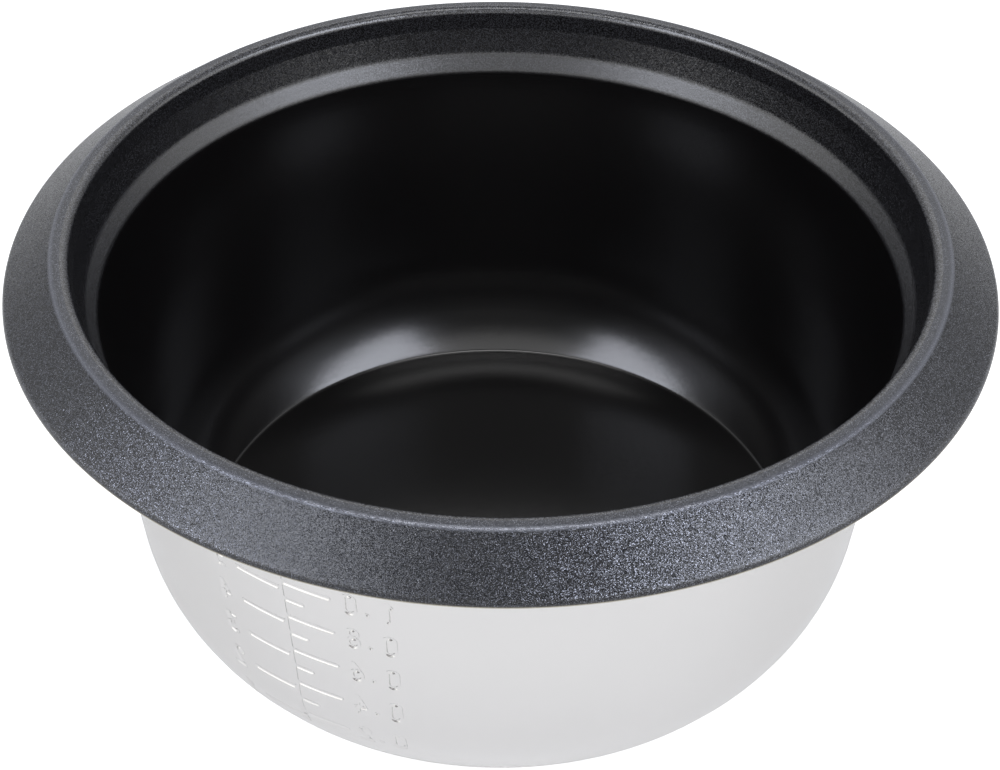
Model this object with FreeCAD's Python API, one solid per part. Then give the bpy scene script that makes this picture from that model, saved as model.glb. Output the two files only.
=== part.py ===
import FreeCAD, Part
import math
import os

# Inner cooking pot of a rice cooker: one aluminium sheet drawn into a bowl with a
# lid seat, a collar, a flat rim and a sloping brim, with a non-stick coat on top.
# Millimetres, +Z up, origin at the centre of the base, front towards -Y.

# ---- driving dimensions ----
OVERALL_HEIGHT = 106.6    # base to the flat of the rim
MOUTH_RADIUS = 98.4       # top of the cooking wall, where the lid seat begins
SHEET_THICKNESS = 1.6     # aluminium
COAT_THICKNESS = 0.2      # non-stick coat

FLOOR_CORNER_RADIUS = 1.5   # bend between the floor and the heel, inside
HEEL_WIDTH = 11.6           # floor corner to wall corner, across
HEEL_RISE = 12.3            # floor corner to wall corner, up
HEEL_BEND_RADIUS = 44.0     # large bend between the heel and the wall, inside
WALL_TAPER = 6.8            # how much the wall draws in on its way down

SEAT_WIDTH = 2.8          # sloping seat for the lid or steamer, across
SEAT_RISE = 4.1           # the same seat, up
COLLAR_DEPTH = 13.2       # top of the seat up to the rim
COLLAR_FLARE = 1.9        # lower collar, across
COLLAR_FLARE_RISE = 7.2   # lower collar, up
COLLAR_TOP_FLARE = 0.45   # upper collar, across
RIM_WIDTH = 3.95          # top of the collar to the outer corner of the rim
BRIM_REACH = 12.5         # outer corner of the rim to the edge of the brim
BRIM_DROP = 9.2           # rim down to where the brim turns down
BRIM_LIP = 0.2            # straight lip below that bend

SEAT_FOOT_BEND = 2.5      # bend radii, each on its tight side
SEAT_TOP_BEND = 5.0
COLLAR_BEND = 3.0
RIM_INNER_BEND = 0.3
RIM_OUTER_BEND = 0.7
BRIM_EDGE_BEND = 0.2

MARK_WIDTH = 1.2          # water marks pressed in from outside
MARK_DEPTH = 0.35
SCALE_AZIMUTH = -29.4     # degrees round from the front, positive towards +X
SCALE_TOP = 71.0
SCALE_FOOT = 15.8
LITRE_STEPS = 10          # marks every tenth of a litre of rice up to this many
LITRE_FIRST_STEP = 2
LITRE_EMPTY_FILL = 87000.0    # mm3 in the pot at the zero of the litre scale
LITRE_FILL = 1700000.0        # mm3 of rice and water for each litre of rice
CUP_COUNT = 5
CUP_EMPTY_FILL = 22100.0 # mm3 in the pot at the zero of the cup scale
CUP_FILL = 343500.0      # mm3 of rice and water for each cup of rice
LONG_TICK = 7.2           # degrees from the scale line
SHORT_TICK = 3.0
DIGIT_HEIGHT = 6.0        # between the middles of the strokes
DIGIT_WIDTH = 2.5
DIGIT_THINNING = 0.3      # the digits' strokes are this much narrower than the lines
POINT_DROP = 2.0          # decimal point below its level
LITRE_UNITS_AZIMUTH = -14.0
LITRE_TENTHS_AZIMUTH = -19.2
LITRE_POINT_AZIMUTH = -16.8
CUP_DIGIT_AZIMUTH = -40.1
TOOL_INSET = 8.0          # the tools that press the marks start this far inside the floor corner
TOOL_OVERRUN = 20.0       # and end this far outside the mouth

WALL = SHEET_THICKNESS + COAT_THICKNESS
TOOL_START = MOUTH_RADIUS - WALL_TAPER - HEEL_WIDTH - TOOL_INSET
TOOL_REACH = MOUTH_RADIUS + TOOL_OVERRUN - TOOL_START
OUTWARD = FreeCAD.Vector(0, -1, 0)
AXIS_FOOT = FreeCAD.Vector(0, 0, 0)
AXIS = FreeCAD.Vector(0, 0, 1)
FULL_TURN = 360.0

# Places in the profile, which runs line, bend, line, bend ... line.
WALL_EDGES = (1, 6)       # from the floor corner's bend to the bend at the foot of the seat
RIM_EDGE_START = 12       # first edge after the rim's inner bend
EDGE_POINTS = 40          # points along each edge when the bowl's volume is added up


# ---- the drawn profile ----
def corners():
    """Corners of the coated face from the middle of the floor out to the lip: radius, height, bend."""
    rim = OVERALL_HEIGHT
    wall_foot = MOUTH_RADIUS - WALL_TAPER
    seat_top = MOUTH_RADIUS + SEAT_WIDTH
    collar_bend = seat_top + COLLAR_FLARE
    collar_top = collar_bend + COLLAR_TOP_FLARE
    rim_edge = collar_top + RIM_WIDTH
    seat_height = rim - COLLAR_DEPTH
    brim_edge = rim_edge + BRIM_REACH
    edge_turn = math.atan2(BRIM_REACH, BRIM_DROP)
    edge_bend = (BRIM_EDGE_BEND + WALL) * math.tan(edge_turn / 2)
    return [
        (0.0, WALL, 0.0),
        (wall_foot - HEEL_WIDTH, WALL, FLOOR_CORNER_RADIUS),
        (wall_foot, WALL + HEEL_RISE, HEEL_BEND_RADIUS),
        (MOUTH_RADIUS, seat_height - SEAT_RISE, SEAT_FOOT_BEND),
        (seat_top, seat_height, SEAT_TOP_BEND),
        (collar_bend, seat_height + COLLAR_FLARE_RISE, COLLAR_BEND),
        (collar_top, rim, RIM_INNER_BEND),
        (rim_edge, rim, RIM_OUTER_BEND),
        (brim_edge, rim - BRIM_DROP, BRIM_EDGE_BEND),
        (brim_edge, rim - BRIM_DROP - edge_bend - BRIM_LIP, 0.0),
    ]


def heading(start, end):
    """Unit vector from one corner to the next."""
    length = math.hypot(end[0] - start[0], end[1] - start[1])
    return (end[0] - start[0]) / length, (end[1] - start[1]) / length


def point(radius, height):
    return FreeCAD.Vector(radius, 0, height)


def chain(depth):
    """Edges of the profile at a depth below the coated face: line, bend, line, bend ... line."""
    path = corners()
    ways = [heading(a, b) for a, b in zip(path[:-1], path[1:])]
    unders = [(z, -r) for r, z in ways]
    moved = [(path[0][0] + depth * unders[0][0], path[0][1] + depth * unders[0][1])]
    for corner, before, after in zip(path[1:-1], unders[:-1], unders[1:]):
        share = depth / (1 + before[0] * after[0] + before[1] * after[1])
        moved.append((corner[0] + share * (before[0] + after[0]),
                      corner[1] + share * (before[1] + after[1])))
    last = path[-1]
    moved.append((last[0] + depth * unders[-1][0], last[1] + depth * unders[-1][1]))

    edges = []
    at = point(*moved[0])
    for index in range(1, len(moved) - 1):
        way_in, way_out = ways[index - 1], ways[index]
        turn = way_in[0] * way_out[1] - way_in[1] * way_out[0]
        tight = path[index][2]
        bend = tight + depth if turn > 0 else tight + WALL - depth
        angle = abs(math.atan2(turn, way_in[0] * way_out[0] + way_in[1] * way_out[1]))
        run = bend * math.tan(angle / 2)
        radius, height = moved[index]
        start = point(radius - run * way_in[0], height - run * way_in[1])
        end = point(radius + run * way_out[0], height + run * way_out[1])
        back = (way_out[0] - way_in[0], way_out[1] - way_in[1])
        size = math.hypot(*back)
        reach = bend / math.cos(angle / 2) - bend
        middle = point(radius + reach * back[0] / size, height + reach * back[1] / size)
        edges.append(Part.LineSegment(at, start).toShape())
        edges.append(Part.Arc(start, middle, end).toShape())
        at = end
    edges.append(Part.LineSegment(at, point(*moved[-1])).toShape())
    return edges


def layer(top, under, first=0, last=None):
    """Solid of revolution between two depths, over a stretch of the profile's edges."""
    upper = chain(top)[first:last]
    lower = chain(under)[first:last]
    caps = [Part.LineSegment(upper[0].Vertexes[0].Point, lower[0].Vertexes[0].Point).toShape(),
            Part.LineSegment(upper[-1].Vertexes[-1].Point, lower[-1].Vertexes[-1].Point).toShape()]
    outline = Part.Wire(Part.__sortEdges__(upper + lower + caps))
    return Part.Face(outline).revolve(AXIS_FOOT, AXIS, FULL_TURN)


# ---- the water scale ----
def fill_height(volume):
    """Height at which the bowl holds a volume, adding thin frustums up from the floor."""
    edges = chain(0.0)[slice(*WALL_EDGES)]
    outline = [spot for edge in edges for spot in edge.discretize(EDGE_POINTS)]
    held = 0.0
    for low, high in zip(outline[:-1], outline[1:]):
        rise = high.z - low.z
        slab = math.pi * rise * (low.x ** 2 + low.x * high.x + high.x ** 2) / 3
        if held + slab >= volume:
            return low.z + rise * (volume - held) / slab
        held += slab
    return outline[-1].z


def litre_height(step):
    return fill_height(LITRE_EMPTY_FILL + LITRE_FILL * step / LITRE_STEPS)


def cup_height(cups):
    return fill_height(CUP_EMPTY_FILL + CUP_FILL * cups)


def turned(shape, azimuth):
    """Turn a shape made on the -Y side round to an azimuth."""
    shape.rotate(AXIS_FOOT, AXIS, azimuth)
    return shape


def tick(height, start, end, width):
    """Ring sector that marks one level between two azimuths."""
    low, high = min(start, end), max(start, end)
    foot = FreeCAD.Vector(0, -TOOL_START, height - width / 2)
    up = FreeCAD.Vector(0, 0, width)
    out = OUTWARD * TOOL_REACH
    section = Part.Face(Part.makePolygon([foot, foot + out, foot + out + up, foot + up, foot]))
    sector = section.revolve(AXIS_FOOT, AXIS, high - low)
    return turned(sector, low)


def dot(centre, width):
    """Round bar through the wall at one point of the drawing plane."""
    return Part.makeCylinder(width / 2, TOOL_REACH, centre, OUTWARD)


def straight(start, end, width):
    """Round-ended bar through the wall along one straight stroke."""
    side = OUTWARD.cross(end - start).normalize() * (width / 2)
    outline = Part.makePolygon([start + side, end + side, end - side, start - side, start + side])
    bar = Part.Face(outline).extrude(OUTWARD * TOOL_REACH)
    return bar.fuse([dot(start, width), dot(end, width)])


def oval(centre, across, up, width):
    """Closed stroke round an upright oval: two half rings joined by straight sides."""
    half = across / 2
    lift = FreeCAD.Vector(0, 0, up / 2 - half)

    def drawn(reach):
        foot, top = dot(centre - lift, 2 * reach), dot(centre + lift, 2 * reach)
        block = Part.makeBox(2 * reach, TOOL_REACH, 2 * lift.z,
                             centre + FreeCAD.Vector(-reach, -TOOL_REACH, -lift.z))
        return block.fuse([foot, top])
    return drawn(half + width / 2).cut(drawn(half - width / 2))


# Strokes of each digit in a cell one wide and one high, read from inside the pot.
# A line is two points; an oval is its centre, width and height.
BAR = {
    "1": [((0.5, 0), (0.5, 1)), ((0.5, 1), (0.15, 0.8))],
    "2": [((0, 0.78), (0.25, 1)), ((0.25, 1), (0.75, 1)), ((0.75, 1), (1, 0.75)),
          ((1, 0.75), (0, 0)), ((0, 0), (1, 0))],
    "3": [((0, 1), (1, 1)), ((1, 1), (0.4, 0.58)), ((0.4, 0.58), (1, 0.42)),
          ((1, 0.42), (0.85, 0.08)), ((0.85, 0.08), (0.4, 0)), ((0.4, 0), (0, 0.12))],
    "4": [((0.75, 0), (0.75, 1)), ((0.75, 1), (0, 0.3)), ((0, 0.3), (1, 0.3))],
    "5": [((1, 1), (0.1, 1)), ((0.1, 1), (0, 0.55)), ((0, 0.55), (0.7, 0.6)),
          ((0.7, 0.6), (1, 0.3)), ((1, 0.3), (0.65, 0)), ((0.65, 0), (0, 0.08))],
    "6": [((0.75, 1), (0.04, 0.42))],
}
OVAL = {
    "0": [((0.5, 0.5), 1.0, 1.0)],
    "6": [((0.5, 0.27), 1.0, 0.54)],
    "8": [((0.5, 0.25), 1.0, 0.5), ((0.5, 0.77), 0.86, 0.46)],
}


def digit(name, height, azimuth, width):
    """One digit through the wall, mirrored as it shows from outside."""
    def place(across, up):
        return FreeCAD.Vector((0.5 - across) * DIGIT_WIDTH, -TOOL_START,
                              height + (up - 0.5) * DIGIT_HEIGHT)
    strokes = [straight(place(*a), place(*b), width) for a, b in BAR.get(name, [])]
    for centre, across, up in OVAL.get(name, []):
        strokes.append(oval(place(*centre), across * DIGIT_WIDTH, up * DIGIT_HEIGHT, width))
    return turned(joined(strokes), azimuth)


def joined(strokes):
    return strokes[0].multiFuse(strokes[1:]) if len(strokes) > 1 else strokes[0]


def marks(width):
    """The marks of the water scale, each passing through the wall: the ruled lines, then the digits."""
    spine = Part.makeBox(width, TOOL_REACH, SCALE_TOP - SCALE_FOOT,
                         FreeCAD.Vector(-width / 2, -TOOL_START - TOOL_REACH, SCALE_FOOT))
    lines = [turned(spine, SCALE_AZIMUTH)]
    digits = []
    stroke = width - DIGIT_THINNING
    for step in range(LITRE_FIRST_STEP, LITRE_STEPS + 1):
        level = litre_height(step)
        even = step % 2 == 0
        reach = LONG_TICK if even else SHORT_TICK
        lines.append(tick(level, SCALE_AZIMUTH, SCALE_AZIMUTH + reach, width))
        if even:
            units, tenths = divmod(step, LITRE_STEPS)
            digits.append(digit(str(units), level, LITRE_UNITS_AZIMUTH, stroke))
            digits.append(digit(str(tenths), level, LITRE_TENTHS_AZIMUTH, stroke))
            point_at = FreeCAD.Vector(0, -TOOL_START, level - POINT_DROP)
            digits.append(turned(dot(point_at, stroke), LITRE_POINT_AZIMUTH))
    for cups in range(1, CUP_COUNT + 1):
        level = cup_height(cups)
        lines.append(tick(level, SCALE_AZIMUTH, SCALE_AZIMUTH - LONG_TICK, width))
        digits.append(digit(str(cups), level, CUP_DIGIT_AZIMUTH, stroke))
    return [joined(lines)] + digits


def pressed(top, under, width):
    """The part of every mark that lies between two depths of the wall."""
    band = layer(top, under, *WALL_EDGES)
    return [band.common(mark) for mark in marks(width)]


# ---- the nodes ----
def build():
    """The drawn shell, the coat inside the bowl and the coat over the rim and brim."""
    grooves = pressed(WALL - MARK_DEPTH, WALL + MARK_DEPTH, MARK_WIDTH)
    ridges = pressed(COAT_THICKNESS - MARK_DEPTH, COAT_THICKNESS, MARK_WIDTH)
    crests = pressed(-MARK_DEPTH, COAT_THICKNESS, MARK_WIDTH + 2 * COAT_THICKNESS)
    shell = layer(COAT_THICKNESS, WALL).cut(grooves).fuse(ridges)
    bowl_coat = layer(0.0, COAT_THICKNESS, 0, RIM_EDGE_START).fuse(crests).cut(ridges)
    brim_coat = layer(0.0, COAT_THICKNESS, RIM_EDGE_START)
    return {"pot_shell": shell, "bowl_coating": bowl_coat, "brim_coating": brim_coat}


def main():
    os.makedirs("parts", exist_ok=True)
    for name, shape in build().items():
        solids = shape.Solids
        print(name, "solids", len(solids), "valid", shape.isValid(), "volume", round(shape.Volume, 1),
              "box", [round(v, 2) for v in (shape.BoundBox.XLength, shape.BoundBox.YLength,
                                            shape.BoundBox.ZMin, shape.BoundBox.ZMax)])
        shape.exportStep("parts/" + name + ".step")


main()
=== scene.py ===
import logging
import math
from dataclasses import dataclass, field
from enum import Enum

import bpy
import numpy as np
from mathutils import Matrix, Vector


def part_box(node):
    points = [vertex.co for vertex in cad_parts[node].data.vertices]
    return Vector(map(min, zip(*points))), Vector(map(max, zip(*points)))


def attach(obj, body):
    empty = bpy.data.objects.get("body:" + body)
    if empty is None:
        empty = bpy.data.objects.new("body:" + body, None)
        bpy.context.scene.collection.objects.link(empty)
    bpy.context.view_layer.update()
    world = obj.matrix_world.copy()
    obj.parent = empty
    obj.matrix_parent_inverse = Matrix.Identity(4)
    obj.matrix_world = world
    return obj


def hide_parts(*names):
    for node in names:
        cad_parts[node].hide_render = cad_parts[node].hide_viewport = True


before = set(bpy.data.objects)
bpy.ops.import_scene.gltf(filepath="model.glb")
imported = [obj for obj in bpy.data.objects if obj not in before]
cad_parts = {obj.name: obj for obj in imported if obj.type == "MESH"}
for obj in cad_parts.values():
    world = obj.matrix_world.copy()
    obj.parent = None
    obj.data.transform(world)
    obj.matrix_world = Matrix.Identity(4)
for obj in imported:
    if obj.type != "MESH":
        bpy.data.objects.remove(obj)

# Inner cooking pot of a rice cooker: a drawn aluminium shell, a non-stick lining in the
# bowl and a flecked non-stick coat over the rim and brim. Sizes in these classes are
# millimetres and degrees; meshes, lights and the camera are in metres.

Array = np.ndarray
Mesh = bpy.types.Mesh
Material = bpy.types.Material
Object = bpy.types.Object
Tree = bpy.types.NodeTree
Node = bpy.types.Node
Socket = bpy.types.NodeSocket
Pair = tuple[float, float]
Triple = tuple[float, float, float]
Colour = tuple[float, float, float, float]

MM = 0.001
SLABS = 4000  # thin slices that the bowl's volume is added up from
BEND_POINTS = 65  # points traced round each bend
SHARP_ANGLE = 60.0  # degrees between two faces, past which their edge is shaded sharp
CLOUDS = 0.02  # how far the broad clouds of a finish move its roughness
WHITE = (1.0, 1.0, 1.0, 1.0)
log = logging.getLogger("pot")


# ---- the drawn section ----
@dataclass
class Section:
    """The coated face of the wall in section, as arrays along its path.

    A place in the wall is (path, depth): path millimetres along the coated face from the
    middle of the floor, then depth millimetres straight below that face.
    """

    path: Array
    radius: Array
    height: Array
    heading: Array
    joints: list[Pair]

    def place(self, path: Array, depth: Array) -> tuple[Array, Array]:
        """Radius and height of places in the wall.

        radius = radius(path) + depth sin(heading), height = height(path) - depth cos(heading).

        Args:
            path: distances along the coated face, mm.
            depth: distances below the coated face, mm.

        Returns:
            Radius and height, mm.
        """
        heading = np.interp(path, self.path, self.heading)
        radius = np.interp(path, self.path, self.radius) + depth * np.sin(heading)
        height = np.interp(path, self.path, self.height) - depth * np.cos(heading)
        return np.maximum(radius, 0.0), height

    def stations(self, start: float, end: float, step: float) -> Array:
        """Places of the mesh rows between two distances along the path.

        Args:
            start: first distance, mm.
            end: last distance, mm.
            step: longest straight run between rows, mm.

        Returns:
            Rising distances, close together round each bend and just inside both ends.
        """
        edge, fewest, swing = 0.02, 4, 7.5
        marks = [start, start + edge, end - edge, end]
        for first, last in self.joints:
            heading = np.interp([first, last], self.path, self.heading)
            pieces = max(fewest, int(math.degrees(abs(heading[1] - heading[0])) / swing))
            marks.extend(np.linspace(first, last, pieces + 1))
        bends = np.unique(np.round([m for m in marks if start <= m <= end], 4))
        rows = [bends[:1]]
        for low, high in zip(bends[:-1], bends[1:]):
            rows.append(np.linspace(low, high, max(1, math.ceil((high - low) / step)) + 1)[1:])
        return np.concatenate(rows)

    def at_height(self, height: Array) -> Array:
        """Distances along the path at which the bowl's wall reaches some heights, mm."""
        top = int(np.argmax(self.height))
        return np.interp(height, self.height[: top + 1], self.path[: top + 1])

    def filled_to(self, volume: float) -> float:
        """Height to which a volume fills the bowl.

        Thin frustums of even height are added up: each holds pi rise (r1^2 + r1 r2 + r2^2) / 3.

        Args:
            volume: cubic millimetres in the bowl.

        Returns:
            The height, mm.
        """
        top = int(np.argmax(self.height))
        height = np.linspace(self.height[0], self.height[top], SLABS + 1)
        radius = np.interp(height, self.height[: top + 1], self.radius[: top + 1])
        low, high = radius[:-1], radius[1:]
        slab = math.pi * np.diff(height) * (low**2 + low * high + high**2) / 3
        held = np.concatenate([[0.0], np.cumsum(slab)])
        return float(np.interp(volume, held, height))


@dataclass
class DrawnWall:
    """The wall's straight runs and bends, set out from the rim height and the brim radius."""

    rim_height: float
    brim_radius: float
    coat: float = 0.2
    sheet: float = 1.6
    heel_width: float = 11.6
    heel_rise: float = 12.3
    wall_taper: float = 6.8
    seat_width: float = 2.8
    seat_rise: float = 4.1
    collar_depth: float = 13.2
    collar_flare: float = 1.9
    collar_flare_rise: float = 7.2
    collar_top_flare: float = 0.45
    rim_width: float = 3.95
    brim_reach: float = 12.5
    brim_drop: float = 9.2
    brim_lip: float = 0.2
    # Radii on the inside of the bends at the floor corner, heel, seat foot, seat top, collar,
    # rim's inner edge, rim's outer edge and lip. rim_bend picks the rim's inner edge.
    bends: tuple[float, ...] = (1.5, 44.0, 2.5, 5.0, 3.0, 0.3, 0.7, 0.2)
    rim_bend: int = 5

    @property
    def wall(self) -> float:
        """Thickness of the sheet and its coat."""
        return self.coat + self.sheet

    def corners(self) -> Array:
        """Corners of the coated face, from the middle of the floor out to the lip.

        Returns:
            Radius and height of each corner, mm.
        """
        rim_edge = self.brim_radius - self.brim_reach
        collar_top = rim_edge - self.rim_width
        collar_bend = collar_top - self.collar_top_flare
        seat_top = collar_bend - self.collar_flare
        mouth = seat_top - self.seat_width
        wall_foot = mouth - self.wall_taper
        seat_height = self.rim_height - self.collar_depth
        brim_low = self.rim_height - self.brim_drop
        edge_turn = math.atan2(self.brim_reach, self.brim_drop)
        edge_run = (self.bends[-1] + self.wall) * math.tan(edge_turn / 2)
        return np.array([
            (0.0, self.wall),
            (wall_foot - self.heel_width, self.wall),
            (wall_foot, self.wall + self.heel_rise),
            (mouth, seat_height - self.seat_rise),
            (seat_top, seat_height),
            (collar_bend, seat_height + self.collar_flare_rise),
            (collar_top, self.rim_height),
            (rim_edge, self.rim_height),
            (self.brim_radius, brim_low),
            (self.brim_radius, brim_low - edge_run - self.brim_lip),
        ])

    def trace(self) -> Section:
        """Follow the coated face from the floor's middle to the lip.

        Each bend is an arc of radius R about a centre R to the inside of the turn; its
        points are centre - R sign (-sin h, cos h) as the heading h swings between runs.

        Returns:
            The section as arrays.
        """
        corners = self.corners()
        legs = np.diff(corners, axis=0)
        headings = np.arctan2(legs[:, 1], legs[:, 0])
        spots, turns, bounds = [corners[:1]], [headings[:1]], []
        count = 1
        for corner, before, after, tight in zip(corners[1:-1], headings[:-1], headings[1:], self.bends):
            swing = (after - before + math.pi) % (2 * math.pi) - math.pi
            sign = math.copysign(1.0, swing)
            bend = tight if sign > 0 else tight + self.wall
            start = corner - bend * math.tan(abs(swing) / 2) * np.array([math.cos(before), math.sin(before)])
            centre = start + sign * bend * np.array([-math.sin(before), math.cos(before)])
            angle = np.linspace(before, before + swing, BEND_POINTS)
            spots.append(centre - sign * bend * np.column_stack([-np.sin(angle), np.cos(angle)]))
            turns.append(angle)
            bounds.append((count, count + len(angle) - 1))
            count += len(angle)
        spots.append(corners[-1:])
        turns.append(headings[-1:])
        line = np.concatenate(spots)
        path = np.concatenate([[0.0], np.cumsum(np.hypot(*np.diff(line, axis=0).T))])
        joints = [(float(path[a]), float(path[b])) for a, b in bounds]
        return Section(path, line[:, 0], line[:, 1], np.concatenate(turns), joints)


# ---- the pressed water scale ----
class Measure(Enum):
    """What a column of the water scale counts."""

    LITRE = "litre"
    CUP = "cup"


# Strokes of each digit in a cell one wide and one high, read from inside the pot.
# A bar is two points; an oval is its centre, width and height.
BARS: dict[str, list] = {
    "1": [((0.5, 0), (0.5, 1)), ((0.5, 1), (0.15, 0.8))],
    "2": [((0, 0.78), (0.25, 1)), ((0.25, 1), (0.75, 1)), ((0.75, 1), (1, 0.75)),
          ((1, 0.75), (0, 0)), ((0, 0), (1, 0))],
    "3": [((0, 1), (1, 1)), ((1, 1), (0.4, 0.58)), ((0.4, 0.58), (1, 0.42)),
          ((1, 0.42), (0.85, 0.08)), ((0.85, 0.08), (0.4, 0)), ((0.4, 0), (0, 0.12))],
    "4": [((0.75, 0), (0.75, 1)), ((0.75, 1), (0, 0.3)), ((0, 0.3), (1, 0.3))],
    "5": [((1, 1), (0.1, 1)), ((0.1, 1), (0, 0.55)), ((0, 0.55), (0.7, 0.6)),
          ((0.7, 0.6), (1, 0.3)), ((1, 0.3), (0.65, 0)), ((0.65, 0), (0, 0.08))],
    "6": [((0.75, 1), (0.04, 0.42))],
}
OVALS: dict[str, list] = {
    "0": [((0.5, 0.5), 1.0, 1.0)],
    "6": [((0.5, 0.27), 1.0, 0.54)],
    "8": [((0.5, 0.25), 1.0, 0.5), ((0.5, 0.77), 0.86, 0.46)],
}


@dataclass
class WaterScale:
    """The pressed scale: an upright line, litre marks on one side and cup marks on the other."""

    section: Section
    width: float = 1.2
    depth: float = 0.42
    soft: float = 0.22
    azimuth: float = -29.4
    top: float = 71.0
    foot: float = 15.8
    steps: int = 10
    first_step: int = 2
    cups: int = 5
    # What the bowl holds at zero on each scale, and what a litre or a cup adds to it, mm3.
    empty_fills: dict[Measure, float] = field(
        default_factory=lambda: {Measure.LITRE: 87000.0, Measure.CUP: 28000.0})
    fills: dict[Measure, float] = field(
        default_factory=lambda: {Measure.LITRE: 1700000.0, Measure.CUP: 337000.0})
    long_tick: float = 7.2
    short_tick: float = 3.0
    digit_height: float = 6.0
    digit_width: float = 2.5
    thinning: float = 0.3
    point_drop: float = 2.0
    units_azimuth: float = -14.0
    tenths_azimuth: float = -19.2
    point_azimuth: float = -16.8
    cup_azimuth: float = -40.1

    def level(self, measure: Measure, count: float) -> float:
        """Height of one mark: where that much rice and its water fill the bowl.

        Args:
            measure: litres or cups of rice.
            count: how many of them.

        Returns:
            The height, mm.
        """
        return self.section.filled_to(self.empty_fills[measure] + self.fills[measure] * count)

    @staticmethod
    def bar(x: Array, y: Array, start: tuple, end: tuple) -> Array:
        """Distance to a straight stroke.

        It is the distance to the nearest point start + t (end - start), with t within 0 and 1.

        Args:
            x: distances across, mm.
            y: distances up, mm.
            start: the stroke's first point.
            end: its last point.

        Returns:
            Distances, mm.
        """
        dx, dy = end[0] - start[0], end[1] - start[1]
        t = np.clip(((x - start[0]) * dx + (y - start[1]) * dy) / (dx * dx + dy * dy), 0.0, 1.0)
        return np.hypot(x - start[0] - t * dx, y - start[1] - t * dy)

    def oval(self, x: Array, y: Array, centre: tuple, across: float, up: float) -> Array:
        """Distance to an upright oval: | distance to its middle bar - half its width |.

        Args:
            x: distances across, mm.
            y: distances up, mm.
            centre: the oval's centre.
            across: its width, mm.
            up: its height, mm.

        Returns:
            Distances, mm.
        """
        lift = up / 2 - across / 2
        bar = self.bar(x, y, (centre[0], centre[1] - lift), (centre[0], centre[1] + lift))
        return np.abs(bar - across / 2)

    def digit(self, name: str, x: Array, y: Array) -> Array:
        """Distance to the strokes of one digit, mirrored as it shows from outside.

        Args:
            name: the digit.
            x: distances round the wall from the digit's middle, mm.
            y: heights above the digit's middle, mm.

        Returns:
            Distances, mm, with half the thinning of the strokes added.
        """
        def spot(across: float, up: float) -> Pair:
            """A point of the cell in millimetres."""
            return (0.5 - across) * self.digit_width, (up - 0.5) * self.digit_height
        near = [self.bar(x, y, spot(*a), spot(*b)) for a, b in BARS.get(name, [])]
        for centre, across, up in OVALS.get(name, []):
            near.append(self.oval(x, y, spot(*centre), across * self.digit_width, up * self.digit_height))
        return np.minimum.reduce(near) + self.thinning / 2

    def relief(self, azimuth: Array, radius: Array, height: Array) -> Array:
        """How far the wall is pressed towards the inside.

        relief = depth S(1/2 + (width / 2 - d) / (2 soft)), with d the distance to the nearest
        stroke and S(t) = t^2 (3 - 2 t) for t held between 0 and 1.

        Args:
            azimuth: degrees round from the front.
            radius: distance from the axis, mm.
            height: height above the base, mm.

        Returns:
            Reliefs, mm.
        """
        def round_from(degrees: float) -> Array:
            """Distance round the wall from an azimuth."""
            return radius * np.sin(np.radians(azimuth - degrees))

        def tick(level: float, reach: float) -> Array:
            """Distance to a level mark that runs reach degrees from the upright line."""
            low, high = sorted((self.azimuth, self.azimuth + reach))
            outside = np.maximum(np.maximum(low - azimuth, azimuth - high), 0.0)
            return np.hypot(radius * np.radians(outside), height - level)

        beyond = np.maximum(np.maximum(self.foot - height, height - self.top), 0.0)
        near = np.hypot(round_from(self.azimuth), beyond)
        for step in range(self.first_step, self.steps + 1):
            level = self.level(Measure.LITRE, step / self.steps)
            even = step % 2 == 0
            near = np.minimum(near, tick(level, self.long_tick if even else self.short_tick))
            if even:
                units, tenths = divmod(step, self.steps)
                y = height - level
                near = np.minimum(near, self.digit(str(units), round_from(self.units_azimuth), y))
                near = np.minimum(near, self.digit(str(tenths), round_from(self.tenths_azimuth), y))
                point = np.hypot(round_from(self.point_azimuth), y + self.point_drop)
                near = np.minimum(near, point + self.thinning / 2)
        for cups in range(1, self.cups + 1):
            level = self.level(Measure.CUP, cups)
            near = np.minimum(near, tick(level, -self.long_tick))
            near = np.minimum(near, self.digit(str(cups), round_from(self.cup_azimuth), height - level))
        t = np.clip(0.5 + (self.width / 2 - near) / (2 * self.soft), 0.0, 1.0)
        return self.depth * t * t * (3 - 2 * t)


# ---- turned meshes ----
@dataclass
class Patch:
    """A stretch of a turned surface that is divided more finely, for the pressed scale."""

    first_row: int
    last_row: int
    first_column: int
    last_column: int
    row_split: int
    column_split: int


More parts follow.
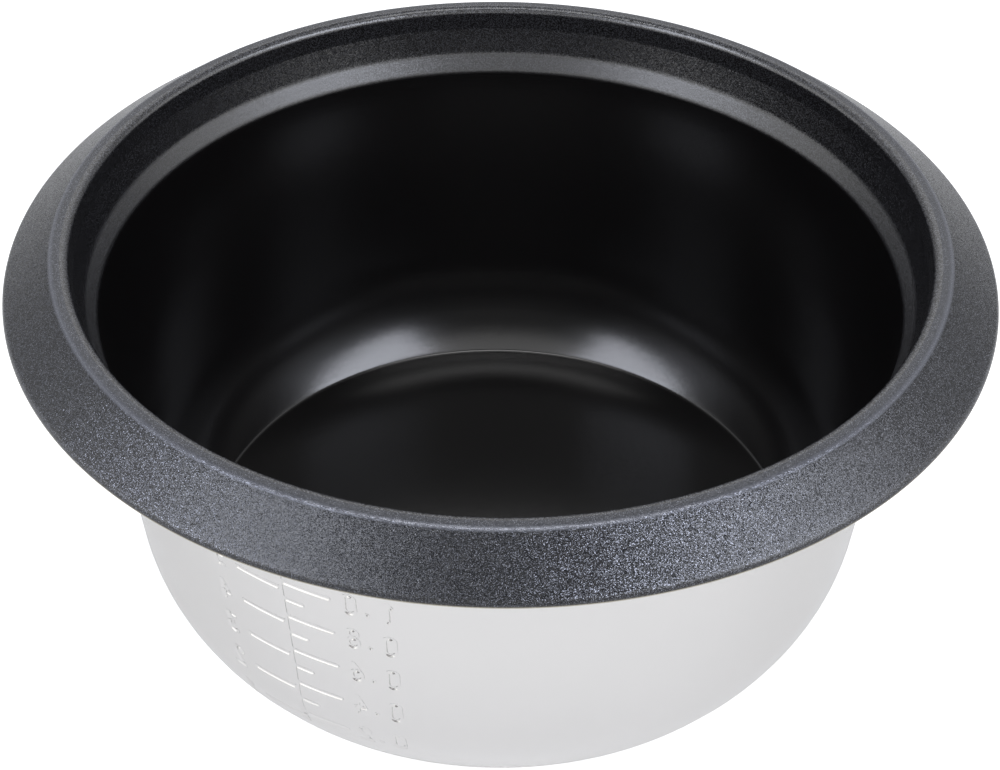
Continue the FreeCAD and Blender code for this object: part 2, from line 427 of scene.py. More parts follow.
@dataclass
class TurnedLayer:
    """A closed layer of the wall between two depths, turned about the pot's axis."""

    section: Section
    scale: WaterScale
    top: float
    under: float
    start: float
    end: float
    columns: int = 180
    step: float = 7.0
    scale_low: float = 11.5
    scale_high: float = 74.0
    scale_rows: int = 25
    scale_left: float = -42.0
    scale_right: float = -12.0
    fine_top: tuple[int, int] = (4, 6)
    fine_under: tuple[int, int] = (11, 13)

    def rows(self) -> tuple[Array, Array]:
        """Set the mesh rows: out along the top face, back along the underside.

        Across the pressed scale they are even in height.

        Returns:
            Distances along the section and depths, mm.
        """
        path = self.section.stations(self.start, self.end, self.step)
        if self.start == 0.0:
            gap = 0.2
            low, high = self.section.at_height(np.array([self.scale_low, self.scale_high]))
            levels = self.section.at_height(np.linspace(self.scale_low, self.scale_high, self.scale_rows + 1))
            path = np.concatenate([path[path < low - gap], levels, path[path > high + gap]])
            path = path[1:]
        depth = np.concatenate([np.full(len(path), self.top), np.full(len(path), self.under)])
        return np.concatenate([path, path[::-1]]), depth

    def patches(self, path: Array) -> list[Patch]:
        """Set the finer stretches round the scale, on the top face and on the underside.

        Args:
            path: the rows' distances along the section.

        Returns:
            The two stretches, or none on a layer that starts beyond the bowl.
        """
        if self.start != 0.0:
            return []
        half = len(path) // 2
        low = int(np.argmin(np.abs(path[:half] - self.section.at_height(np.array([self.scale_low]))[0])))
        high = low + self.scale_rows
        left = round((self.scale_left + 180) * self.columns / 360)
        right = round((self.scale_right + 180) * self.columns / 360)
        return [Patch(low, high, left, right, *self.fine_top),
                Patch(2 * half - 1 - high, 2 * half - 1 - low, left, right, *self.fine_under)]

    def surface(self, row: Array, column: Array, path: Array, depth: Array) -> Array:
        """Points of the layer's surface at fractional rows and columns.

        The wall's place is (path, depth - relief), and with a = 360 column / columns - 180
        degrees, the point is (radius sin a, -radius cos a, height).

        Args:
            row: row numbers.
            column: column numbers.
            path: the rows' distances along the section.
            depth: the rows' depths.

        Returns:
            Points in metres, one per row and column number.
        """
        numbers = np.arange(len(path))
        along, below = np.interp(row, numbers, path), np.interp(row, numbers, depth)
        azimuth = 360.0 * column / self.columns - 180.0
        radius, height = self.section.place(along, below)
        near = (azimuth > self.scale_left) & (azimuth < self.scale_right)
        near &= (along < self.section.at_height(np.array([self.scale_high + 1]))[0]) & (self.start == 0.0)
        pressed = np.zeros_like(radius)
        pressed[near] = self.scale.relief(azimuth[near], radius[near], height[near])
        radius, height = self.section.place(along, below - pressed)
        angle = np.radians(azimuth)
        return np.column_stack([radius * np.sin(angle), -radius * np.cos(angle), height]) * MM

    def mesh(self, name: str) -> Mesh:
        """Build the closed mesh: rows of quads, finer patches, and a point at each pole.

        Args:
            name: the mesh's name.

        Returns:
            The mesh, with its faces pointing outwards.
        """
        path, depth = self.rows()
        count, wide = len(path), self.columns
        grid = np.arange(count * wide).reshape(count, wide)
        row, column = (a.ravel() for a in np.meshgrid(np.arange(count), np.arange(wide), indexing="ij"))
        points = [self.surface(row, column, path, depth)]
        total = count * wide
        plain = np.ones((count, wide), bool)
        faces: list[Array] = []
        for patch in self.patches(path):
            more, total = self.patch_faces(patch, grid, total, plain, faces)
            points.append(self.surface(more[:, 0], more[:, 1], path, depth))
        ring = self.start != 0.0
        rows = np.arange(count if ring else count - 1)
        i, j = (a.ravel() for a in np.meshgrid(rows, np.arange(wide), indexing="ij"))
        keep = plain[i, j]
        i, j = i[keep], j[keep]
        down, right = (i + 1) % count, (j + 1) % wide
        faces.append(np.column_stack([grid[i, j], grid[down, j], grid[down, right], grid[i, right]]))
        if not ring:
            j = np.arange(wide)
            right = (j + 1) % wide
            first, last = np.full(wide, total), np.full(wide, total + 1)
            faces.append(np.column_stack([first, grid[0, j], grid[0, right]]))
            faces.append(np.column_stack([grid[-1, j], last, grid[-1, right]]))
            radius, height = self.section.place(np.zeros(2), np.array([self.top, self.under]))
            points.append(np.column_stack([radius, radius, height]) * MM)
        mesh = bpy.data.meshes.new(name)
        mesh.from_pydata(np.concatenate(points).tolist(), [], [f for block in faces for f in block.tolist()])
        mesh.update()
        mesh.shade_smooth()
        mesh.set_sharp_from_angle(angle=math.radians(SHARP_ANGLE))
        return mesh

    @staticmethod
    def patch_faces(patch: Patch, grid: Array, total: int, plain: Array,
                    faces: list[Array]) -> tuple[Array, int]:
        """Divide a patch finely and join it to the cells around it.

        Args:
            patch: the rows and columns to divide.
            grid: vertex numbers of the whole grid.
            total: vertices so far.
            plain: cells still to be made as plain quads; the patch and its neighbours are cleared.
            faces: blocks of faces, added to.

        Returns:
            Row and column numbers of the new vertices, and the new count of vertices.
        """
        top, foot, left, right = patch.first_row, patch.last_row, patch.first_column, patch.last_column
        up, across = patch.row_split, patch.column_split
        high, wide = (foot - top) * up, (right - left) * across
        fine = np.full((high + 1, wide + 1), -1)
        fine[::up, ::across] = grid[top: foot + 1, left: right + 1]
        fresh = fine < 0
        fine[fresh] = total + np.arange(int(fresh.sum()))
        spots = np.argwhere(fresh)
        more = np.column_stack([top + spots[:, 0] / up, left + spots[:, 1] / across])
        faces.append(np.column_stack([fine[:-1, :-1].ravel(), fine[1:, :-1].ravel(),
                                      fine[1:, 1:].ravel(), fine[:-1, 1:].ravel()]))
        rise = np.arange(up + 1)
        run = np.arange(across + 1)
        rows, columns = np.arange(foot - top), np.arange(right - left)
        west = fine[(rows[:, None] * up + rise[::-1]), 0]
        faces.append(np.column_stack([grid[top + rows, left - 1], grid[top + rows + 1, left - 1], west]))
        east = fine[(rows[:, None] * up + rise), wide]
        faces.append(np.column_stack([east, grid[top + rows + 1, right + 1], grid[top + rows, right + 1]]))
        above = fine[0, columns[:, None] * across + run]
        faces.append(np.column_stack([grid[top - 1, left + columns], above,
                                      grid[top - 1, left + columns + 1]]))
        below = fine[high, columns[:, None] * across + run[::-1]]
        faces.append(np.column_stack([grid[foot + 1, left + columns],
                                      grid[foot + 1, left + columns + 1], below]))
        plain[top: foot, left - 1: right + 1] = False
        plain[top - 1, left: right] = False
        plain[foot, left: right] = False
        return more, total + int(fresh.sum())


# ---- finishes ----
class Board:
    """A node tree being wired: adds nodes and joins sockets."""

    def __init__(self, tree: Tree) -> None:
        """Start on an empty tree."""
        self.tree = tree
        tree.nodes.clear()

    def add(self, kind: str, settings: dict | None = None, **inputs: object) -> Node:
        """Add a node.

        Args:
            kind: the node's type, without ShaderNode in front.
            settings: properties of the node.
            inputs: values or sockets for its inputs, by name with _ for a space.

        Returns:
            The node.
        """
        node = self.tree.nodes.new(kind if kind.startswith("Node") else "ShaderNode" + kind)
        for key, value in (settings or {}).items():
            setattr(node, key, value)
        for key, value in inputs.items():
            self.feed(node, key.replace("_", " "), value)
        return node

    def feed(self, node: Node, name: str, value: object) -> None:
        """Give an input a value, or join it to a socket.

        Args:
            node: the node.
            name: the input's name, or i and a number to pick it by its place.
            value: a value or a socket.
        """
        by_place = name[0] == "i" and name[1:].isdigit()
        target = node.inputs[int(name[1:]) if by_place else name]
        if isinstance(value, Socket):
            self.tree.links.new(value, target)
        else:
            target.default_value = value

    def reckon(self, kind: str, operation: str, values: tuple) -> Socket:
        """Add a node that works on its inputs in order.

        Args:
            kind: the node's type, without ShaderNode in front.
            operation: what it does.
            values: numbers or sockets for its inputs.

        Returns:
            The node's result.
        """
        node = self.add(kind, {"operation": operation})
        for number, value in enumerate(values):
            self.feed(node, f"i{number}", value)
        return node.outputs[0]

    def math(self, operation: str, *values: object) -> Socket:
        """A math node's result."""
        return self.reckon("Math", operation, values)

    def vector(self, operation: str, *values: object) -> Socket:
        """A vector math node's result."""
        return self.reckon("VectorMath", operation, values)


def new_group(name: str, inputs: dict[str, float], outputs: dict[str, str]) -> tuple[Tree, Board, Node, Node]:
    """Make an empty shader node group with named sockets.

    Args:
        name: the group's name.
        inputs: starting value of each input, by name.
        outputs: socket kind of each output, by name.

    Returns:
        The group, its board, its input node and its output node.
    """
    group = bpy.data.node_groups.new(name, "ShaderNodeTree")
    for label, value in inputs.items():
        socket = group.interface.new_socket(name=label, in_out="INPUT", socket_type="NodeSocketFloat")
        socket.default_value = value
    for label, kind in outputs.items():
        group.interface.new_socket(name=label, in_out="OUTPUT", socket_type=kind)
    board = Board(group)
    return group, board, board.add("NodeGroupInput"), board.add("NodeGroupOutput")


def flake_group() -> Tree:
    """Flakes in a sprayed coat: small cells, each with its own brightness and tilt.

    Returns:
        The group; its Size is in millimetres.
    """
    group, board, given, out = new_group(
        "spray_flake",
        {"Size": 0.25, "Tilt": 0.2},
        {"Fleck": "NodeSocketFloat", "Normal": "NodeSocketVector", "Height": "NodeSocketFloat"},
    )
    place = board.add("TexCoord").outputs["Object"]
    density = board.math("DIVIDE", 1.0 / MM, given.outputs["Size"])
    cells = board.add("TexVoronoi", {"feature": "F1"}, Vector=place, Scale=density, Randomness=1.0)
    fleck = board.add("SeparateColor", Color=cells.outputs["Color"]).outputs[0]
    lean = board.vector("SUBTRACT", cells.outputs["Color"], (0.5, 0.5, 0.5))
    scaled = board.add("VectorMath", {"operation": "SCALE"})
    board.feed(scaled, "i0", lean)
    board.feed(scaled, "Scale", given.outputs["Tilt"])
    normal = board.vector("ADD", board.add("NewGeometry").outputs["Normal"], scaled.outputs[0])
    board.feed(out, "Fleck", fleck)
    board.feed(out, "Normal", board.vector("NORMALIZE", normal))
    board.feed(out, "Height", cells.outputs["Distance"])
    return group


def drift_group() -> Tree:
    """Unevenness of a finish: slow broad clouds and finer ones.

    Returns:
        The group; its Broad and Fine are in millimetres.
    """
    group, board, given, out = new_group(
        "finish_drift",
        {"Broad": 40.0, "Fine": 3.0},
        {"Broad": "NodeSocketFloat", "Fine": "NodeSocketFloat"},
    )
    place = board.add("TexCoord").outputs["Object"]
    for label, detail in (("Broad", 2.0), ("Fine", 4.0)):
        density = board.math("DIVIDE", 1.0 / MM, given.outputs[label])
        clouds = board.add("TexNoise", {"noise_dimensions": "3D"}, Vector=place, Scale=density, Detail=detail)
        board.feed(out, label, clouds.outputs[0])
    return group


def ring_group() -> Tree:
    """Turning lines: fine rings round the axis that change with radius and height only.

    Returns:
        The group; its Pitch is in millimetres.
    """
    group, board, given, out = new_group(
        "turned_rings", {"Pitch": 0.5}, {"Height": "NodeSocketFloat"}
    )
    place = board.add("SeparateXYZ", Vector=board.add("TexCoord").outputs["Object"])
    square = board.math("ADD", board.math("MULTIPLY", place.outputs[0], place.outputs[0]),
                        board.math("MULTIPLY", place.outputs[1], place.outputs[1]))
    across = board.math("SQRT", square)
    ring = board.add("CombineXYZ", X=across, Y=place.outputs[2], Z=0.0)
    density = board.math("DIVIDE", 1.0 / MM, given.outputs["Pitch"])
    lines = board.add("TexNoise", {"noise_dimensions": "2D"}, Vector=ring.outputs[0], Scale=density,
                      Detail=3.0)
    board.feed(out, "Height", lines.outputs[0])
    return group


@dataclass
class Effects:
    """The shared node groups, built once."""

    flake: Tree = field(default_factory=flake_group)
    drift: Tree = field(default_factory=drift_group)
    rings: Tree = field(default_factory=ring_group)

    @staticmethod
    def use(board: Board, group: Tree, **inputs: object) -> Node:
        """Place a group in a material.

        Args:
            board: the material's board.
            group: the group.
            inputs: its values there, by name.

        Returns:
            The group's node.
        """
        node = board.add("Group", {"node_tree": group})
        for key, value in inputs.items():
            board.feed(node, key, value)
        return node


def new_material(name: str) -> tuple[Material, Board]:
    """Make an empty node material.

    Args:
        name: the material's name.

    Returns:
        The material and its board.
    """
    material = bpy.data.materials.new(name)
    material.use_nodes = True
    return material, Board(material.node_tree)


def spread(board: Board, value: Socket, low: float, high: float,
           start: float = 0.0, end: float = 1.0) -> Socket:
    """Stretch a value from between start and end to between low and high.

    Args:
        board: the board.
        value: the value.
        low: the result at start and before it.
        high: the result at end and beyond it.
        start: where the stretch begins.
        end: where it ends.

    Returns:
        The stretched value.
    """
    node = board.add("MapRange", {"clamp": True})
    for name, number in (("From Min", start), ("From Max", end), ("To Min", low), ("To Max", high)):
        board.feed(node, name, number)
    board.feed(node, "Value", value)
    return node.outputs[0]


def blend(board: Board, factor: object, first: object, second: object) -> Socket:
    """Mix two colours.

    Args:
        board: the board.
        factor: the second colour's share.
        first: the first colour.
        second: the second colour.

    Returns:
        The mixed colour.
    """
    node = board.add("Mix", {"data_type": "RGBA"})
    for place, value in ((0, factor), (6, first), (7, second)):
        board.feed(node, f"i{place}", value)
    return node.outputs[2]


def share_out(board: Board, share: object, first: object, second: object) -> Socket:
    """Mix two numbers: share x first + (1 - share) x second."""
    return board.math("ADD", board.math("MULTIPLY", share, first),
                      board.math("MULTIPLY", board.math("SUBTRACT", 1.0, share), second))


def height_of(board: Board) -> Socket:
    """Height above the base, metres."""
    return board.add("SeparateXYZ", Vector=board.add("TexCoord").outputs["Object"]).outputs[2]


def uneven(board: Board, drift: Node, pattern: Socket, low: float, high: float) -> Socket:
    """A roughness that follows a pattern, and a little the broad clouds.

    Args:
        board: the board.
        drift: the clouds' node.
        pattern: the pattern.
        low: the roughness where the pattern is 0.
        high: the roughness where it is 1.

    Returns:
        The roughness.
    """
    clouds = spread(board, drift.outputs["Broad"], -CLOUDS, CLOUDS)
    return board.math("ADD", clouds, spread(board, pattern, low, high))


def close(board: Board, shader: Node) -> None:
    """Join a shader to the material's output."""
    board.add("OutputMaterial", Surface=shader.outputs[0])


@dataclass(frozen=True)
class SatinAluminium:
    """Bare drawn aluminium with an even, etched satin face."""

    color: Colour = (0.762, 0.748, 0.727, 1.0)
    shade: Colour = (0.742, 0.728, 0.707, 1.0)
    clouds: float = 35.0
    grain: float = 0.6
    ring_pitch: float = 0.35
    roughness: float = 0.20
    rough_change: float = 0.01
    bump: float = 0.02
    bump_height: float = 0.02

    def material(self, effects: Effects) -> Material:
        """Wire the material.

        Args:
            effects: the shared node groups.

        Returns:
            The material.
        """
        material, board = new_material("satin_aluminium")
        drift = effects.use(board, effects.drift, Broad=self.clouds, Fine=self.grain)
        rings = effects.use(board, effects.rings, Pitch=self.ring_pitch)
        color = blend(board, drift.outputs["Broad"], self.color, self.shade)
        rough = uneven(board, drift, drift.outputs["Fine"], self.roughness - self.rough_change,
                       self.roughness + self.rough_change)
        lines = board.add("Bump", Height=rings.outputs["Height"], Strength=self.bump,
                          Distance=self.bump_height * MM)
        bump = board.add("Bump", Height=drift.outputs["Fine"], Strength=self.bump,
                         Distance=self.bump_height * MM, Normal=lines.outputs[0])
        shader = board.add("BsdfPrincipled", Base_Color=color, Metallic=1.0, Roughness=rough,
                           Normal=bump.outputs[0])
        close(board, shader)
        return material


@dataclass(frozen=True)
class NonstickLining:
    """Near-black satin non-stick lining; above the seat it carries some of the brim's flake, raised on the
    seat partly as painted light, and a band of light flake on the rim's inner bend is a painted highlight.
    """

    color: Colour = (0.0035, 0.0030, 0.0030, 1.0)
    fleck: Colour = (0.22, 0.225, 0.25, 1.0)
    flake_size: float = 0.2
    tilt_low: float = 0.03
    tilt_high: float = 0.14
    clouds: float = 30.0
    grain: float = 1.2
    fleck_low: float = 0.015
    # flake share on the seat: part the coat's own flake, part painted light on the upward face
    fleck_seat: float = 0.30
    fleck_collar: float = 0.22
    # share of light flake painted as a highlight along the rim's inner bend
    fleck_round: float = 0.5
    fleck_power: float = 2.0
    seat_low: float = 88.6
    seat_high: float = 90.2
    collar_low: float = 92.6
    collar_high: float = 94.4
    # heights of the painted highlight band on the rim's inner bend
    round_low: float = 104.9
    round_high: float = 106.2
    roughness: float = 0.20
    rough_change: float = 0.02
    seat_roughness: float = 0.16
    ior: float = 1.75
    bump: float = 0.06
    bump_height: float = 0.05

    def material(self, effects: Effects) -> Material:
        """Wire the material.

        Args:
            effects: the shared node groups.

        Returns:
            The material.
        """
        material, board = new_material("nonstick_lining")
        height = height_of(board)
        seat_edges = self.seat_low * MM, self.seat_high * MM
        collar_edges = self.collar_low * MM, self.collar_high * MM
        painted_round_edges = self.round_low * MM, self.round_high * MM
        tilt = spread(board, height, self.tilt_low, self.tilt_high, *seat_edges)
        flake = effects.use(board, effects.flake, Size=self.flake_size, Tilt=tilt)
        drift = effects.use(board, effects.drift, Broad=self.clouds, Fine=self.grain)
        above = spread(board, height, 0.0, 1.0, *seat_edges)
        # the seat's higher flake share is partly painted light, brightening the upward face; the collar keeps
        # the coat's own flake
        level = spread(board, height, self.fleck_seat, self.fleck_collar, *collar_edges)
        seat = board.math("MULTIPLY", above, spread(board, height, 1.0, 0.0, *collar_edges))
        amount = board.math("MAXIMUM", board.math("MULTIPLY", above, level), self.fleck_low)
        # painted highlight: light flake added along the rim's inner bend, where the overhead light glints
        amount = board.math("ADD", amount, spread(board, height, 0.0, self.fleck_round, *painted_round_edges))
        bright = board.math("POWER", flake.outputs["Fleck"], self.fleck_power)
        color = blend(board, board.math("MULTIPLY", amount, bright), self.color, self.fleck)
        rough = uneven(board, drift, drift.outputs["Fine"], self.roughness - self.rough_change,
                       self.roughness + self.rough_change)
        rough = board.math("ADD", rough, board.math("MULTIPLY", seat, self.seat_roughness))
        bump = board.add("Bump", Height=drift.outputs["Fine"], Strength=self.bump,
                         Distance=self.bump_height * MM, Normal=flake.outputs["Normal"])
        shader = board.add("BsdfPrincipled", Base_Color=color, Roughness=rough, IOR=self.ior,
                           Normal=bump.outputs[0])
        close(board, shader)
        return material


@dataclass(frozen=True)
class FleckedBrim:
    """Blue-grey non-stick with a bright metal flake, browner towards the lip, and a painted highlight of
    metal flake round the rim's outer bend.
    """

    color: Colour = (0.006, 0.007, 0.010, 1.0)
    fleck: Colour = (0.26, 0.27, 0.31, 1.0)
    lip: Colour = (0.085, 0.070, 0.045, 1.0)
    bare: Colour = (0.46, 0.43, 0.35, 1.0)
    flake_size: float = 0.14
    flake_from: float = 0.72
    tilt: float = 0.34
    lip_tilt: float = 0.02
    clouds: float = 25.0
    grain: float = 0.9
    metal_low: float = 0.03
    metal_high: float = 0.85
    roughness: float = 0.22
    smoother: float = 0.04
    rougher: float = 0.06
    ior: float = 1.62
    lip_share: float = 0.85
    lip_low: float = 96.0
    lip_high: float = 97.0
    bare_low: float = 96.38
    bare_high: float = 96.52
    # painted highlight band round the rim's outer bend: where it rises, peaks and falls, and its share at the
    # top
    worn_low: float = 105.95
    worn_peak: float = 106.35
    worn_high: float = 106.59
    worn_top: float = 0.15
    bump: float = 0.05
    bump_height: float = 0.05

    def material(self, effects: Effects) -> Material:
        """Wire the material.

        Args:
            effects: the shared node groups.

        Returns:
            The material.
        """
        material, board = new_material("nonstick_brim")
        height = height_of(board)
        edge = spread(board, height, 1.0, 0.0, self.lip_low * MM, self.lip_high * MM)
        tilt = spread(board, edge, self.tilt, self.lip_tilt)
        flake = effects.use(board, effects.flake, Size=self.flake_size, Tilt=tilt)
        drift = effects.use(board, effects.drift, Broad=self.clouds, Fine=self.grain)
        # painted highlight: metal flake raised in a band round the rim's outer bend, where the overhead light
        # glints
        rising = spread(board, height, 0.0, 1.0, self.worn_low * MM, self.worn_peak * MM)
        falling = spread(board, height, 1.0, self.worn_top, self.worn_peak * MM, self.worn_high * MM)
        painted_crest_highlight = board.math("MULTIPLY", rising, falling)
        bright = spread(board, flake.outputs["Fleck"], 0.0, 1.0, self.flake_from, 1.0)
        fleck = board.math("MAXIMUM", bright, painted_crest_highlight)
        color = blend(board, fleck, self.color, self.fleck)
        color = blend(board, board.math("MULTIPLY", edge, self.lip_share), color, self.lip)
        bare = spread(board, height, 1.0, 0.0, self.bare_low * MM, self.bare_high * MM)
        color = blend(board, bare, color, self.bare)
        # metal follows both the real flake and the painted highlight band
        metal = board.math("MAXIMUM", spread(board, fleck, self.metal_low, self.metal_high), bare)
        rough = uneven(board, drift, flake.outputs["Fleck"], self.roughness - self.smoother,
                       self.roughness + self.rougher)
        bump = board.add("Bump", Height=drift.outputs["Fine"], Strength=self.bump,
                         Distance=self.bump_height * MM, Normal=flake.outputs["Normal"])
        shader = board.add("BsdfPrincipled", Base_Color=color, Metallic=metal, Roughness=rough,
                           IOR=self.ior, Normal=bump.outputs[0])
        close(board, shader)
        return material


# ---- the pot ----
@dataclass
class InnerPot:
    """The pot: its shell and both stretches of its coat."""

    wall: DrawnWall
    effects: Effects
    brim_columns: int = 360
    brim_step: float = 2.0

    def __post_init__(self) -> None:
        """Trace the section once."""
        self.section = self.wall.trace()
        self.scale = WaterScale(self.section)
        self.seam = self.section.joints[self.wall.rim_bend][1]
        self.lip = float(self.section.path[-1])

    def piece(self, name: str, node: str, slot: str, layer: TurnedLayer, material: Material) -> Object:
        """Make one piece that stands for a CAD node.

        Args:
            name: the piece's name.
            node: the CAD node that it replaces.
            slot: the record's material slot; not used.
            layer: the layer of the wall that it is.
            material: its finish.

        Returns:
            The piece.
        """
        piece = bpy.data.objects.new(name, layer.mesh(name))
        bpy.context.scene.collection.objects.link(piece)
        piece.data.materials.append(material)
        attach(piece, "root")
        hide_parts(node)
        log.info("%s: %d faces", name, len(piece.data.polygons))
        return piece

    def shell(self) -> Object:
        """The drawn aluminium shell."""
        layer = TurnedLayer(self.section, self.scale, self.wall.coat, self.wall.wall, 0.0, self.lip)
        return self.piece("shell", "pot_shell", "satin_aluminium", layer,
                          SatinAluminium().material(self.effects))

    def lining(self) -> Object:
        """The coat in the bowl, up over the rim's inner bend."""
        layer = TurnedLayer(self.section, self.scale, 0.0, self.wall.coat, 0.0, self.seam,
                            fine_top=(10, 13), fine_under=(4, 6))
        return self.piece("bowl_lining", "bowl_coating", "nonstick_lining", layer,
                          NonstickLining().material(self.effects))

    def brim(self) -> Object:
        """The coat over the flat of the rim, the brim and its lip."""
        layer = TurnedLayer(self.section, self.scale, 0.0, self.wall.coat, self.seam, self.lip,
                            columns=self.brim_columns, step=self.brim_step)
        return self.piece("brim_coat", "brim_coating", "nonstick_brim", layer,
                          FleckedBrim().material(self.effects))

    def build(self) -> list[Object]:
        """Build the pieces, from the metal outwards."""
        return [self.shell(), self.lining(), self.brim()]


# ---- the studio ----
@dataclass
class Softbox:
    """A soft area light, aimed at the pot."""

    name: str
    toward: Triple
    distance: float
    size: Pair
    radiance: float
    color: Triple

    def build(self, target: Vector) -> Object:
        """Hang the light in its direction from the target; its power is radiance pi area.

        Args:
            target: the point that it faces.

        Returns:
            The light.
        """
        data = bpy.data.lights.new(self.name, "AREA")
        data.shape = "RECTANGLE"
        data.size, data.size_y = self.size
        data.energy = self.radiance * math.pi * self.size[0] * self.size[1]
        data.color = self.color
        light = bpy.data.objects.new(self.name, data)
        bpy.context.scene.collection.objects.link(light)
        direction = Vector(self.toward).normalized()
        light.location = target + direction * self.distance
        light.rotation_mode = "QUATERNION"
        light.rotation_quaternion = direction.to_track_quat("Z", "Y")
        light.visible_camera = False
        return light


def mirror_ray(board: Board, rays: Node) -> Socket:
    """One for a ray that comes from a mirror or through glass, else zero."""
    return board.math("MAXIMUM", rays.outputs["Is Glossy Ray"], rays.outputs["Is Transmission Ray"])


@dataclass
class Studio:
    """A plain pale floor, a white surround and soft lights.

    The surround's limits are parts of a direction's unit length: rises are its upward part,
    turns its part away from the front once it is laid level.
    """

    target: Vector
    cool: Triple = (0.92, 0.96, 1.08)
    plain: Triple = (1.0, 1.0, 1.0)
    surround: float = 0.28
    behind_low: float = 0.45
    behind_high: float = 1.25
    behind_rise: Pair = (0.25, 0.55)
    behind_turn: Pair = (0.65, 0.90)
    behind_from: Pair = (0.15, 0.45)
    beside_low: float = 1.6
    beside_high: float = 0.7
    beside_rise: Pair = (0.43, 0.53)
    zenith: float = 0.20
    zenith_rise: Pair = (0.72, 0.88)
    ahead_turn: Pair = (-0.90, -0.72)
    ahead_most: float = 4.0
    ahead: tuple[Pair, ...] = (
        (0.0, 0.15), (0.22, 0.15), (0.32, 2.0), (0.43, 2.0), (0.46, 0.1), (0.60, 0.1),
        (0.635, 1.0), (0.80, 1.0), (0.86, 0.10))
    least_level: float = 0.001
    floor_color: Colour = (0.70, 0.70, 0.70, 1.0)
    floor_roughness: float = 0.9
    floor_glow: float = 0.30
    floor_white: float = 0.80
    floor_size: float = 12.0

    def bands(self, board: Board, rise: Socket) -> Socket:
        """Strength of the darker and lighter bands ahead of the pot.

        Args:
            board: the surround's board.
            rise: upward part of the direction.

        Returns:
            The strength. The ramp holds it divided by ahead_most, as its colours end at 1.
        """
        ramp = board.add("ValToRGB", Fac=rise)
        stops = ramp.color_ramp.elements
        for number, (place, strength) in enumerate(self.ahead):
            stop = stops[number] if number < 2 else stops.new(place)
            stop.position = place
            stop.color = (*[strength / self.ahead_most] * 3, 1.0)
        shade = board.add("SeparateColor", Color=ramp.outputs[0]).outputs[0]
        return board.math("MULTIPLY", shade, self.ahead_most)

    def room(self, board: Board, rise: Socket, turn: Socket) -> Socket:
        """Strength of the room beside, behind and over the pot.

        Args:
            board: the surround's board.
            rise: upward part of the direction.
            turn: part of the level direction away from the front.

        Returns:
            The strength.
        """
        side = spread(board, rise, self.beside_low, self.beside_high, *self.beside_rise)
        high = board.math("MULTIPLY", spread(board, rise, 0.0, 1.0, *self.behind_rise),
                          spread(board, turn, 0.0, 1.0, *self.behind_turn))
        back = spread(board, high, self.behind_low, self.behind_high)
        walls = share_out(board, spread(board, turn, 0.0, 1.0, *self.behind_from), back, side)
        return board.math("MULTIPLY", walls, spread(board, rise, 1.0, self.zenith, *self.zenith_rise))

    def world(self) -> None:
        """A white surround: full white to the camera, and a room with bands ahead in mirrors."""
        world = bpy.data.worlds.new("surround")
        bpy.context.scene.world = world
        world.use_nodes = True
        board = Board(world.node_tree)
        rays = board.add("LightPath")
        way = board.add("SeparateXYZ", Vector=board.add("TexCoord").outputs["Generated"])
        rise = way.outputs[2]
        square = board.math("SUBTRACT", 1.0, board.math("MULTIPLY", rise, rise))
        level = board.math("SQRT", board.math("MAXIMUM", square, self.least_level))
        turn = board.math("DIVIDE", way.outputs[1], level)
        facing = spread(board, turn, 1.0, 0.0, *self.ahead_turn)
        mirrored = share_out(board, facing, self.bands(board, rise), self.room(board, rise, turn))
        extra = board.math("MULTIPLY", mirror_ray(board, rays),
                           board.math("SUBTRACT", mirrored, self.surround))
        strength = board.math("MAXIMUM", board.math("ADD", self.surround, extra),
                              rays.outputs["Is Camera Ray"])
        light = board.add("Background", Color=WHITE, Strength=strength)
        board.add("OutputWorld", Surface=light.outputs[0])

    def floor(self) -> Object:
        """Lay the pale floor that the pot stands on; it keeps the pot's shadow.

        Returns:
            The floor.
        """
        half = self.floor_size / 2
        mesh = bpy.data.meshes.new("floor")
        mesh.from_pydata([(-half, -half, 0), (half, -half, 0), (half, half, 0), (-half, half, 0)],
                         [], [(0, 1, 2, 3)])
        material, board = new_material("pale_floor")
        rays = board.add("LightPath")
        glow = board.math("MAXIMUM", board.math("MULTIPLY", mirror_ray(board, rays), self.floor_glow),
                          board.math("MULTIPLY", rays.outputs["Is Camera Ray"], self.floor_white))
        shader = board.add("BsdfPrincipled", Base_Color=self.floor_color,
                           Roughness=self.floor_roughness, Emission_Color=WHITE,
                           Emission_Strength=glow)
        board.feed(shader, "Specular IOR Level", 0.0)
        close(board, shader)
        mesh.materials.append(material)
        floor = bpy.data.objects.new("floor", mesh)
        bpy.context.scene.collection.objects.link(floor)
        return floor

    def lights(self) -> list[Object]:
        """Hang the softboxes: left, right and overhead.

        Returns:
            The lights.
        """
        boxes = [
            Softbox("softbox_left", (-0.65, -0.42, 0.63), 1.1, (0.62, 0.50), 4.3, self.cool),
            Softbox("softbox_right", (0.65, -0.44, 0.62), 1.1, (0.74, 0.46), 4.6, self.cool),
            Softbox("softbox_overhead", (0.0, -0.06, 1.0), 1.3, (0.9, 0.36), 3.3, self.plain),
        ]
        return [box.build(self.target) for box in boxes]

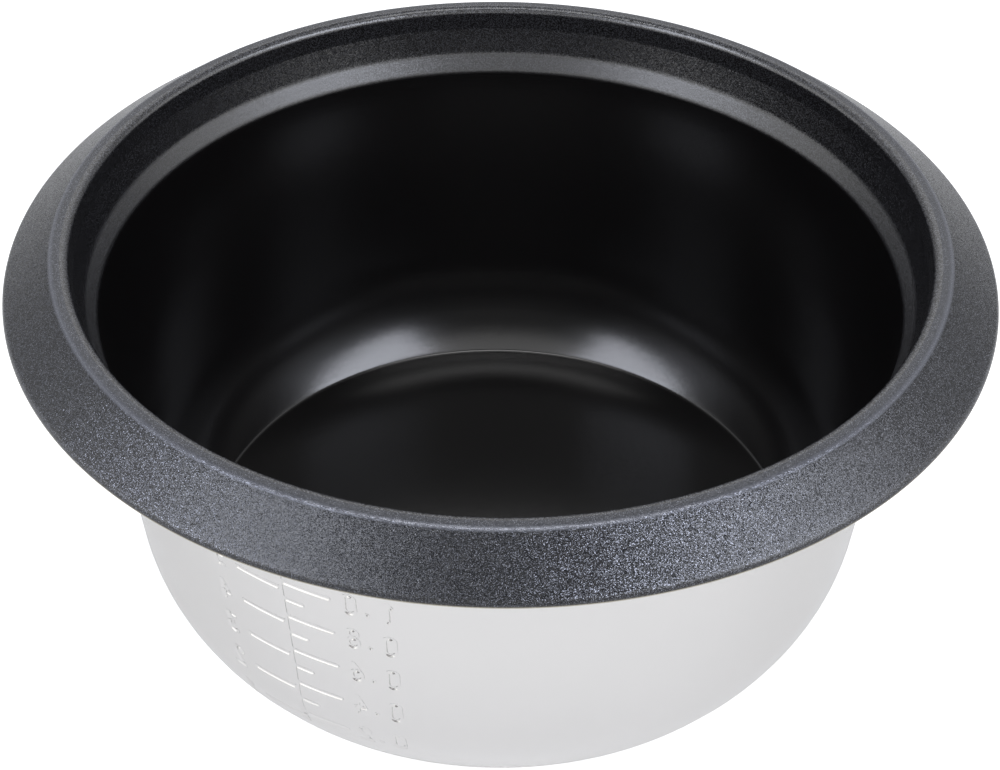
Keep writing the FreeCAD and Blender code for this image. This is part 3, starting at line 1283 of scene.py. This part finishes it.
    def build(self) -> None:
        """Set the stage round the pot."""
        self.world()
        self.floor()
        self.lights()
        bpy.context.scene.view_settings.view_transform = "Standard"


@dataclass
class Viewpoint:
    """The camera: in front of the pot and above it, looking down into the bowl."""

    brim_radius: float
    brim_low: float
    back: float = 3.31731
    rise: float = 2.40345
    pan: float = 2.397e-4
    tilt: float = 0.692217
    roll: float = 0.0121924
    lens: float = 72.0
    sensor: float = 36.0
    nearest: float = 0.01
    farthest: float = 50.0

    def build(self) -> Object:
        """Stand the camera back and rise brim radii from the brim's centre and aim it.

        Forward is (sin pan cos tilt, cos pan cos tilt, -sin tilt), and the picture is then
        turned about it by roll.

        Returns:
            The camera.
        """
        forward = Vector((math.sin(self.pan) * math.cos(self.tilt), math.cos(self.pan) * math.cos(self.tilt),
                          -math.sin(self.tilt)))
        level = Vector((math.cos(self.pan), -math.sin(self.pan), 0.0))
        upright = level.cross(forward)
        right = math.cos(self.roll) * level + math.sin(self.roll) * upright
        above = math.cos(self.roll) * upright - math.sin(self.roll) * level
        data = bpy.data.cameras.new("camera")
        data.lens, data.sensor_width = self.lens, self.sensor
        data.clip_start, data.clip_end = self.nearest, self.farthest
        camera = bpy.data.objects.new("camera", data)
        bpy.context.scene.collection.objects.link(camera)
        place = Vector((0.0, -self.back * self.brim_radius, self.rise * self.brim_radius + self.brim_low))
        turn = Matrix((right, above, -forward)).transposed().to_4x4()
        camera.matrix_world = Matrix.Translation(place) @ turn
        bpy.context.scene.camera = camera
        return camera


def main() -> None:
    """Build the pot on its CAD frame, then the studio and the camera."""
    logging.basicConfig(level=logging.INFO, format="%(name)s: %(message)s")
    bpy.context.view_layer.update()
    low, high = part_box("brim_coating")
    wall = DrawnWall(rim_height=round(high.z / MM, 3), brim_radius=round(high.x / MM, 3))
    log.info("rim height %.3f mm, brim radius %.3f mm", wall.rim_height, wall.brim_radius)
    InnerPot(wall, Effects()).build()
    Studio(target=Vector((0.0, 0.0, high.z / 2))).build()
    Viewpoint(brim_radius=high.x, brim_low=low.z).build()


if __name__ == "__main__":
    main()
